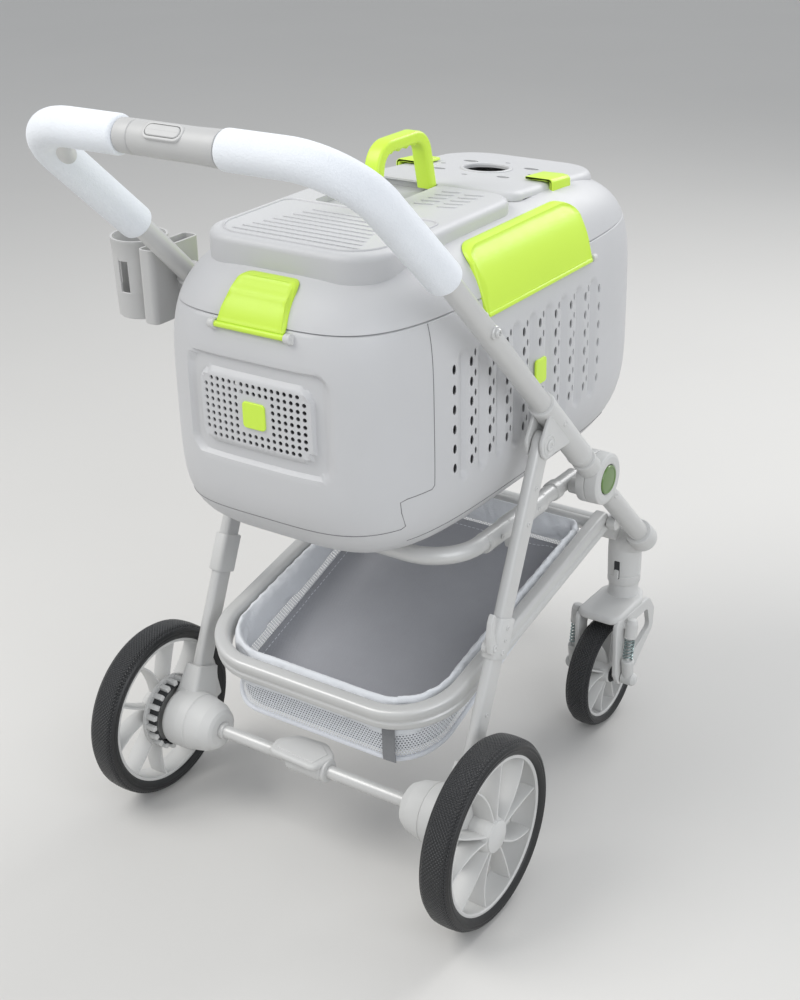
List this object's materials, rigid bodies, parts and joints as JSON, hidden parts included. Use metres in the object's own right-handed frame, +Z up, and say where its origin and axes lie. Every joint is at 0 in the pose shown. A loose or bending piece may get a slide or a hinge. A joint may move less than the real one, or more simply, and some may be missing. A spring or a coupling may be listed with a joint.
{
  "type": "pet stroller",
  "caption": "Folding pet stroller: sprung caster front wheels, large rear wheels, tubular frame, shopping basket, cup holder and a lift-off hard pet carrier with a latched lid.",
  "frame": {"origin": "on the ground, below the middle of the bounding box", "axes": "+X to the pusher's right, +Y the way it travels, +Z up"},
  "size_m": [0.601, 0.774, 0.97],
  "materials": {
    "painted_tube": "satin light grey paint",
    "grey_plastic": "fine-grained light grey",
    "carrier_plastic": "fine-grained pale grey",
    "lime_plastic": "satin lime green",
    "green_button": "glossy dark green",
    "white_foam": "closed-cell foam",
    "tyre": "knurled black",
    "white_fabric": "white mesh and padded trim",
    "grey_fabric": "woven grey",
    "spring_steel": "teal-grey plated"
  },
  "bodies": {
    "front_frame": {"front_leg_right": "painted_tube", "front_leg_left": "painted_tube", "caster_housing_right": "grey_plastic", "caster_housing_left": "grey_plastic", "front_beam": "painted_tube", "seat_frame": "painted_tube"},
    "upper_frame": {"handle_tube": "painted_tube", "grip_right": "white_foam", "grip_left": "white_foam", "handle_centre_cover": "grey_plastic", "hub_cover_right": "grey_plastic", "hub_cover_left": "grey_plastic", "leg_bracket_right": "grey_plastic", "leg_bracket_left": "grey_plastic", "cup_holder": "grey_plastic"},
    "rear_frame": {"rear_leg_right": "painted_tube", "rear_leg_left": "painted_tube", "rear_hub_housing_right": "grey_plastic", "rear_hub_housing_left": "grey_plastic", "rear_axle": "painted_tube"},
    "basket": {"basket_rail": "painted_tube", "basket_bag": "white_fabric", "basket_floor": "grey_fabric"},
    "pedal": {"brake_pedal": "grey_plastic"},
    "handle_button": {"fold_button": "grey_plastic"},
    "carrier": {"carrier_base": "carrier_plastic"},
    "lid": {"carrier_lid": "carrier_plastic"},
    "hatch": {"lid_hatch": "carrier_plastic"},
    "handle_loop": {"carry_handle": "lime_plastic"},
    "rear_clasp": {"rear_latch": "lime_plastic"},
    "front_clasp": {"front_latch": "lime_plastic"},
    "caster_right": {"caster_fork_right": "grey_plastic", "shock_spring_right_outer": "spring_steel", "shock_spring_right_inner": "spring_steel"},
    "suspension_right": {"front_axle_right": "grey_plastic"},
    "front_wheel_right": {"front_tyre_right": "tyre", "front_rim_right": "grey_plastic"},
    "rear_wheel_right": {"rear_tyre_right": "tyre", "rear_rim_right": "grey_plastic"},
    "swivel_slider_right": {"swivel_lock_right": "grey_plastic"},
    "round_button_right": {"hub_button_right": "green_button"},
    "side_clasp_right": {"side_latch_right": "lime_plastic"},
    "hatch_clasp_right": {"hatch_latch_right": "lime_plastic"},
    "lock_hook": {"fold_lock_hook": "grey_plastic"},
    "caster_left": {"caster_fork_left": "grey_plastic", "shock_spring_left_outer": "spring_steel", "shock_spring_left_inner": "spring_steel"},
    "suspension_left": {"front_axle_left": "grey_plastic"},
    "front_wheel_left": {"front_tyre_left": "tyre", "front_rim_left": "grey_plastic"},
    "rear_wheel_left": {"rear_tyre_left": "tyre", "rear_rim_left": "grey_plastic"},
    "swivel_slider_left": {"swivel_lock_left": "grey_plastic"},
    "round_button_left": {"hub_button_left": "green_button"},
    "side_clasp_left": {"side_latch_left": "lime_plastic"},
    "hatch_clasp_left": {"hatch_latch_left": "lime_plastic"}
  },
  "joints": [
    {"name": "frame_fold", "type": "hinge", "parent": "front_frame", "child": "upper_frame", "pos_m": [0.0225, 0.14799, 0.438], "axis": [1, 0, 0], "range_deg": [0, 72]},
    {"name": "rear_leg_pivot", "type": "hinge", "parent": "upper_frame", "child": "rear_frame", "pos_m": [0.0225, -0.00301, 0.541], "axis": [1, 0, 0], "range_deg": [-42, 0]},
    {"name": "basket_rail_pivot", "type": "hinge", "parent": "front_frame", "child": "basket", "pos_m": [0.0225, 0.23299, 0.332], "axis": [1, 0, 0], "range_deg": [0, 47]},
    {"name": "pedal_pivot", "type": "hinge", "parent": "rear_frame", "child": "pedal", "pos_m": [0.0225, -0.20301, 0.12], "axis": [1, 0, 0], "range_deg": [0, 18]},
    {"name": "fold_button_press", "type": "slide", "parent": "upper_frame", "child": "handle_button", "axis": [0, 0.6989, -0.7153], "range_m": [0, 0.0025], "stiffness_N_per_m": 300, "springref_m": -0.002},
    {"name": "caster_swivel_right", "type": "hinge", "parent": "front_frame", "child": "caster_right", "pos_m": [0.1965, 0.31699, 0.19], "axis": [0, 0, 1], "continuous": true},
    {"name": "suspension_travel_right", "type": "slide", "parent": "caster_right", "child": "suspension_right", "axis": [0, 0.1803, 0.9836], "range_m": [0, 0.01], "stiffness_N_per_m": 8000, "springref_m": -0.006, "deforming": ["shock_spring_right_outer", "shock_spring_right_inner"]},
    {"name": "front_wheel_spin_right", "type": "hinge", "parent": "suspension_right", "child": "front_wheel_right", "pos_m": [0.1965, 0.25499, 0.0805], "axis": [1, 0, 0], "continuous": true},
    {"name": "rear_wheel_spin_right", "type": "hinge", "parent": "rear_frame", "child": "rear_wheel_right", "pos_m": [0.2805, -0.20301, 0.12], "axis": [1, 0, 0], "continuous": true},
    {"name": "swivel_lock_right_slide", "type": "slide", "parent": "front_frame", "child": "swivel_slider_right", "axis": [0, 0, 1], "range_m": [0, 0.008]},
    {"name": "lock_hook_pivot", "type": "hinge", "parent": "rear_frame", "child": "lock_hook", "pos_m": [0.2355, -0.12533, 0.32371], "axis": [1, 0, 0], "range_deg": [0, 35]},
    {"name": "round_button_right_press", "type": "slide", "parent": "upper_frame", "child": "round_button_right", "axis": [-1, 0, 0], "range_m": [0, 0.0025], "stiffness_N_per_m": 300, "springref_m": -0.002},
    {"name": "caster_swivel_left", "type": "hinge", "parent": "front_frame", "child": "caster_left", "pos_m": [-0.1515, 0.31699, 0.19], "axis": [0, 0, 1], "continuous": true},
    {"name": "suspension_travel_left", "type": "slide", "parent": "caster_left", "child": "suspension_left", "axis": [0, 0.1803, 0.9836], "range_m": [0, 0.01], "stiffness_N_per_m": 8000, "springref_m": -0.006, "deforming": ["shock_spring_left_outer", "shock_spring_left_inner"]},
    {"name": "front_wheel_spin_left", "type": "hinge", "parent": "suspension_left", "child": "front_wheel_left", "pos_m": [-0.1515, 0.25499, 0.0805], "axis": [1, 0, 0], "continuous": true},
    {"name": "rear_wheel_spin_left", "type": "hinge", "parent": "rear_frame", "child": "rear_wheel_left", "pos_m": [-0.2355, -0.20301, 0.12], "axis": [1, 0, 0], "continuous": true},
    {"name": "swivel_lock_left_slide", "type": "slide", "parent": "front_frame", "child": "swivel_slider_left", "axis": [0, 0, 1], "range_m": [0, 0.008]},
    {"name": "round_button_left_press", "type": "slide", "parent": "upper_frame", "child": "round_button_left", "axis": [1, 0, 0], "range_m": [0, 0.0025], "stiffness_N_per_m": 300, "springref_m": -0.002},
    {"name": "carrier_lift", "type": "slide", "parent": "front_frame", "child": "carrier", "axis": [0, 0, 1], "range_m": [0, 0.45]},
    {"name": "lid_lift", "type": "slide", "parent": "carrier", "child": "lid", "axis": [0, 0, 1], "range_m": [0, 0.15]},
    {"name": "hatch_hinge", "type": "hinge", "parent": "lid", "child": "hatch", "pos_m": [0.0225, 0.09699, 0.807], "axis": [1, 0, 0], "range_deg": [0, 85]},
    {"name": "carry_handle_pivot", "type": "hinge", "parent": "lid", "child": "handle_loop", "pos_m": [0.0225, 0.02299, 0.811], "axis": [0, -1, 0], "range_deg": [0, 85]},
    {"name": "rear_latch_pivot", "type": "hinge", "parent": "lid", "child": "rear_clasp", "pos_m": [0.0225, -0.27051, 0.7275], "axis": [1, 0, 0], "range_deg": [0, 75]},
    {"name": "front_latch_pivot", "type": "hinge", "parent": "lid", "child": "front_clasp", "pos_m": [0.0225, 0.38249, 0.7275], "axis": [-1, 0, 0], "range_deg": [0, 75]},
    {"name": "side_latch_right_pivot", "type": "hinge", "parent": "lid", "child": "side_clasp_right", "pos_m": [0.2031, 0.05699, 0.7135], "axis": [0, 1, 0], "range_deg": [0, 75]},
    {"name": "hatch_latch_right_pivot", "type": "hinge", "parent": "hatch", "child": "hatch_clasp_right", "pos_m": [0.1009, 0.22199, 0.803], "axis": [0, -1, 0], "range_deg": [0, 75]},
    {"name": "side_latch_left_pivot", "type": "hinge", "parent": "lid", "child": "side_clasp_left", "pos_m": [-0.1581, 0.05699, 0.7135], "axis": [0, -1, 0], "range_deg": [0, 75]},
    {"name": "hatch_latch_left_pivot", "type": "hinge", "parent": "hatch", "child": "hatch_clasp_left", "pos_m": [-0.0559, 0.22199, 0.803], "axis": [0, 1, 0], "range_deg": [0, 75]}
  ],
  "couplings": [
    {"joint": "rear_leg_pivot", "follows": "frame_fold", "ratio": -0.57103},
    {"joint": "basket_rail_pivot", "follows": "frame_fold", "ratio": 0.65109}
  ]
}
